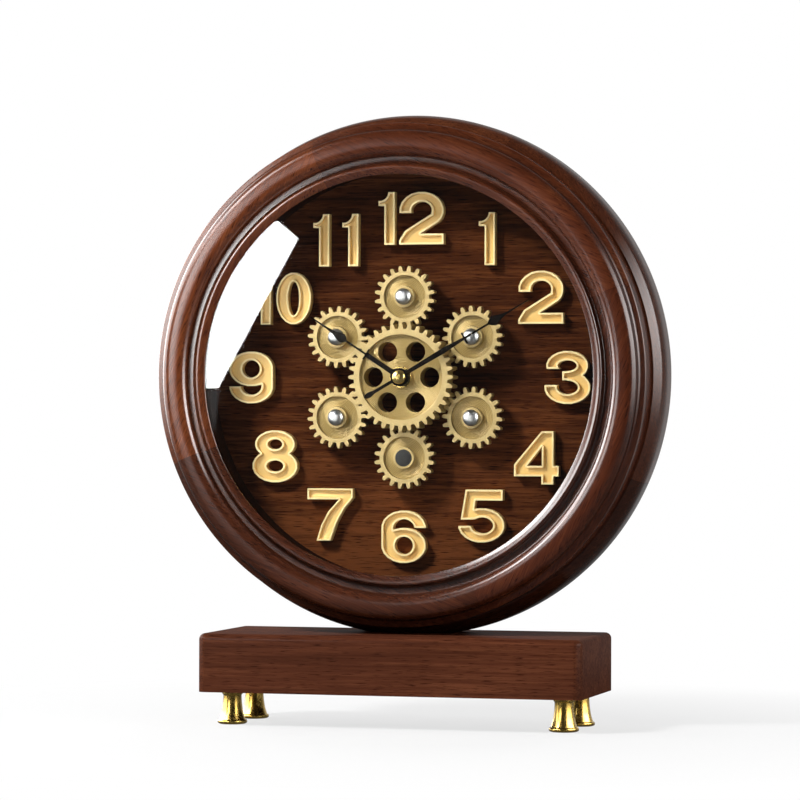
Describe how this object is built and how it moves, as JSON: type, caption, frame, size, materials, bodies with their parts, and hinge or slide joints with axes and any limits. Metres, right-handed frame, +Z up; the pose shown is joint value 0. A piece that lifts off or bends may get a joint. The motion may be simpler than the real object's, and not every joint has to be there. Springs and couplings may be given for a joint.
{
  "type": "desk clock",
  "caption": "Desk clock: a turned wooden drum with a glazed dial, raised numerals and a turning gear train, on a wooden plinth with brass feet.",
  "frame": {"origin": "on the floor, under the middle of the plinth", "axes": "+Z up, +Y from the glass to the back, +X to the right seen from the front; the dial faces -Y"},
  "size_m": [0.2638, 0.076, 0.3081],
  "materials": {
    "front_ring_wood": "lacquered walnut, satin gloss",
    "rear_ring_wood": "lacquered walnut, satin gloss",
    "base_wood": "lacquered walnut, satin gloss",
    "dial_veneer": "oiled walnut veneer, horizontal grain",
    "dark_wood": "stained wood strip",
    "glass": "clear flat glass",
    "numeral_gold": "satin gold lacquer",
    "gear_brass": "antique brass coating",
    "polished_brass": "polished and lacquered",
    "hub_brass": "machined",
    "pin_steel": "bright nickel plate",
    "zinc_steel": "bright zinc plate",
    "hand_black": "black lacquer, bright edges",
    "black_plastic": "moulded, fine texture",
    "knob_plastic": "moulded, ribbed",
    "switch_plastic": "moulded",
    "cell_jacket": "printed film jacket"
  },
  "bodies": {
    "case": {"base": "base_wood", "bushing_nut": "hub_brass", "bushing_washer": "hub_brass", "case_screws": "zinc_steel", "centre_bushing": "hub_brass", "clock_battery": "cell_jacket", "dial": "dial_veneer", "dial_screws": "zinc_steel", "drive_battery": "cell_jacket", "drive_screws": "zinc_steel", "drive_unit_case": "black_plastic", "feet": "polished_brass", "front_ring_segment_1": "front_ring_wood", "front_ring_segment_2": "front_ring_wood", "front_ring_segment_3": "front_ring_wood", "front_ring_segment_4": "front_ring_wood", "gear_collar": "hub_brass", "gear_pin_nuts": "zinc_steel", "gear_pins": "pin_steel", "gear_spacers": "pin_steel", "glass": "glass", "glass_spacer_ring": "dark_wood", "movement_case": "black_plastic", "numeral_1": "numeral_gold", "numeral_10": "numeral_gold", "numeral_11": "numeral_gold", "numeral_12": "numeral_gold", "numeral_2": "numeral_gold", "numeral_3": "numeral_gold", "numeral_4": "numeral_gold", "numeral_5": "numeral_gold", "numeral_6": "numeral_gold", "numeral_7": "numeral_gold", "numeral_8": "numeral_gold", "numeral_9": "numeral_gold", "rear_ring_segment_1": "rear_ring_wood", "rear_ring_segment_2": "rear_ring_wood", "rear_ring_segment_3": "rear_ring_wood", "rear_ring_segment_4": "rear_ring_wood"},
    "centre_wheel": {"centre_gear": "gear_brass"},
    "planet_1": {"planet_gear_1": "gear_brass"},
    "planet_2": {"planet_gear_2": "gear_brass"},
    "planet_3": {"planet_gear_3": "gear_brass"},
    "planet_4": {"planet_gear_4": "gear_brass", "drive_spindle": "black_plastic"},
    "planet_5": {"planet_gear_5": "gear_brass"},
    "planet_6": {"planet_gear_6": "gear_brass"},
    "hour": {"hour_hand": "hand_black", "hour_tube": "hub_brass"},
    "minute": {"minute_hand": "hand_black", "minute_arbor": "hub_brass", "hand_nut": "hub_brass"},
    "setter": {"setting_knob": "knob_plastic"},
    "switch": {"drive_switch": "switch_plastic"}
  },
  "joints": [
    {"name": "centre_gear_spin", "type": "hinge", "parent": "case", "child": "centre_wheel", "pos_m": [0, -0.007, 0.1752], "axis": [0, 1, 0], "continuous": true},
    {"name": "planet_1_spin", "type": "hinge", "parent": "case", "child": "planet_1", "pos_m": [0, -0.002, 0.2158], "axis": [0, 1, 0], "continuous": true},
    {"name": "planet_2_spin", "type": "hinge", "parent": "case", "child": "planet_2", "pos_m": [0.03516, -0.002, 0.1955], "axis": [0, 1, 0], "continuous": true},
    {"name": "planet_3_spin", "type": "hinge", "parent": "case", "child": "planet_3", "pos_m": [0.03516, -0.002, 0.1549], "axis": [0, 1, 0], "continuous": true},
    {"name": "planet_4_spin", "type": "hinge", "parent": "case", "child": "planet_4", "pos_m": [0, -0.002, 0.1346], "axis": [0, 1, 0], "continuous": true},
    {"name": "planet_5_spin", "type": "hinge", "parent": "case", "child": "planet_5", "pos_m": [-0.03516, -0.002, 0.1549], "axis": [0, 1, 0], "continuous": true},
    {"name": "planet_6_spin", "type": "hinge", "parent": "case", "child": "planet_6", "pos_m": [-0.03516, -0.002, 0.1955], "axis": [0, 1, 0], "continuous": true},
    {"name": "minute_hand_turn", "type": "hinge", "parent": "case", "child": "minute", "pos_m": [0, -0.0149, 0.1752], "axis": [0, 1, 0], "continuous": true},
    {"name": "hour_hand_turn", "type": "hinge", "parent": "case", "child": "hour", "pos_m": [0, -0.0134, 0.1752], "axis": [0, 1, 0], "continuous": true},
    {"name": "setting_knob_turn", "type": "hinge", "parent": "case", "child": "setter", "pos_m": [0, 0.027, 0.1882], "axis": [0, 1, 0], "continuous": true},
    {"name": "drive_switch_slide", "type": "slide", "parent": "case", "child": "switch", "axis": [1, 0, 0], "range_m": [0, 0.003]}
  ],
  "couplings": [
    {"joint": "planet_1_spin", "follows": "centre_gear_spin", "ratio": -1.8},
    {"joint": "planet_2_spin", "follows": "centre_gear_spin", "ratio": -1.8},
    {"joint": "planet_3_spin", "follows": "centre_gear_spin", "ratio": -1.8},
    {"joint": "planet_4_spin", "follows": "centre_gear_spin", "ratio": -1.8},
    {"joint": "planet_5_spin", "follows": "centre_gear_spin", "ratio": -1.8},
    {"joint": "planet_6_spin", "follows": "centre_gear_spin", "ratio": -1.8},
    {"joint": "hour_hand_turn", "follows": "minute_hand_turn", "ratio": 0.083333},
    {"joint": "setting_knob_turn", "follows": "minute_hand_turn", "ratio": -0.33333}
  ]
}
